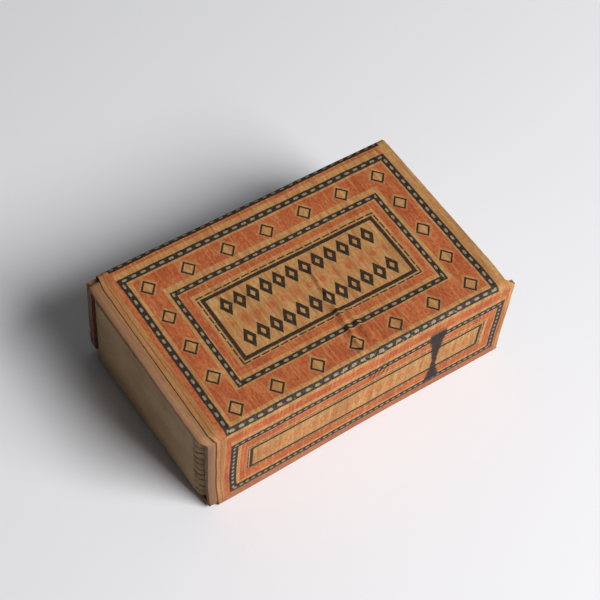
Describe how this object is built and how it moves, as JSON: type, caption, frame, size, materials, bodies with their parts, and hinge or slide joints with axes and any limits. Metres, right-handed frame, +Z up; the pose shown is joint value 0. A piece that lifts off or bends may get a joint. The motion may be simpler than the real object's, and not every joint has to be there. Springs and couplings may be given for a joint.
{
  "type": "matchbox",
  "caption": "Small wooden matchbox: printed paper over a folded veneer sleeve, a sliding veneer tray, and matches lying inside.",
  "frame": {"origin": "middle of the base of the whole box, on the surface that it lies on", "axes": "+X along the box and the tray's slide, towards the match heads; -Y is the printed front long side; +Z up through the top panel"},
  "size_m": [0.0518, 0.0312, 0.018],
  "materials": {
    "sleeve_wood": "bare aspen veneer, aged tan, fine grain round the box",
    "label_paper": "matte thin paper, tan ground with orange-red and black print, worn at the folds",
    "striking_composition": "dark red-brown grit, matte",
    "tray_wood": "bare veneer, matte",
    "binding_paper": "coarse grey-brown paper, matte, wrinkled at the corners",
    "splint_wood": "pale split wood",
    "match_head": "dull brown dipped composition"
  },
  "bodies": {
    "sleeve": {"sleeve_veneer": "sleeve_wood", "sleeve_label": "label_paper", "striking_strip": "striking_composition"},
    "tray": {"tray_frame": "tray_wood", "tray_bottom": "tray_wood", "tray_binding": "binding_paper", "match_01_splint": "splint_wood", "match_01_head": "match_head", "match_02_splint": "splint_wood", "match_02_head": "match_head", "match_03_splint": "splint_wood", "match_03_head": "match_head", "match_04_splint": "splint_wood", "match_04_head": "match_head", "match_05_splint": "splint_wood", "match_05_head": "match_head", "match_06_splint": "splint_wood", "match_06_head": "match_head", "match_07_splint": "splint_wood", "match_07_head": "match_head", "match_08_splint": "splint_wood", "match_08_head": "match_head", "match_09_splint": "splint_wood", "match_09_head": "match_head", "match_10_splint": "splint_wood", "match_10_head": "match_head", "match_11_splint": "splint_wood", "match_11_head": "match_head", "match_12_splint": "splint_wood", "match_12_head": "match_head", "match_13_splint": "splint_wood", "match_13_head": "match_head", "match_14_splint": "splint_wood", "match_14_head": "match_head", "match_15_splint": "splint_wood", "match_15_head": "match_head", "match_16_splint": "splint_wood", "match_16_head": "match_head", "match_17_splint": "splint_wood", "match_17_head": "match_head", "match_18_splint": "splint_wood", "match_18_head": "match_head", "match_19_splint": "splint_wood", "match_19_head": "match_head", "match_20_splint": "splint_wood", "match_20_head": "match_head", "match_21_splint": "splint_wood", "match_21_head": "match_head", "match_22_splint": "splint_wood", "match_22_head": "match_head", "match_23_splint": "splint_wood", "match_23_head": "match_head", "match_24_splint": "splint_wood", "match_24_head": "match_head", "match_25_splint": "splint_wood", "match_25_head": "match_head", "match_26_splint": "splint_wood", "match_26_head": "match_head"}
  },
  "joints": [
    {"name": "tray_slide", "type": "slide", "parent": "sleeve", "child": "tray", "axis": [1, 0, 0], "range_m": [-0.04, 0.04]}
  ]
}
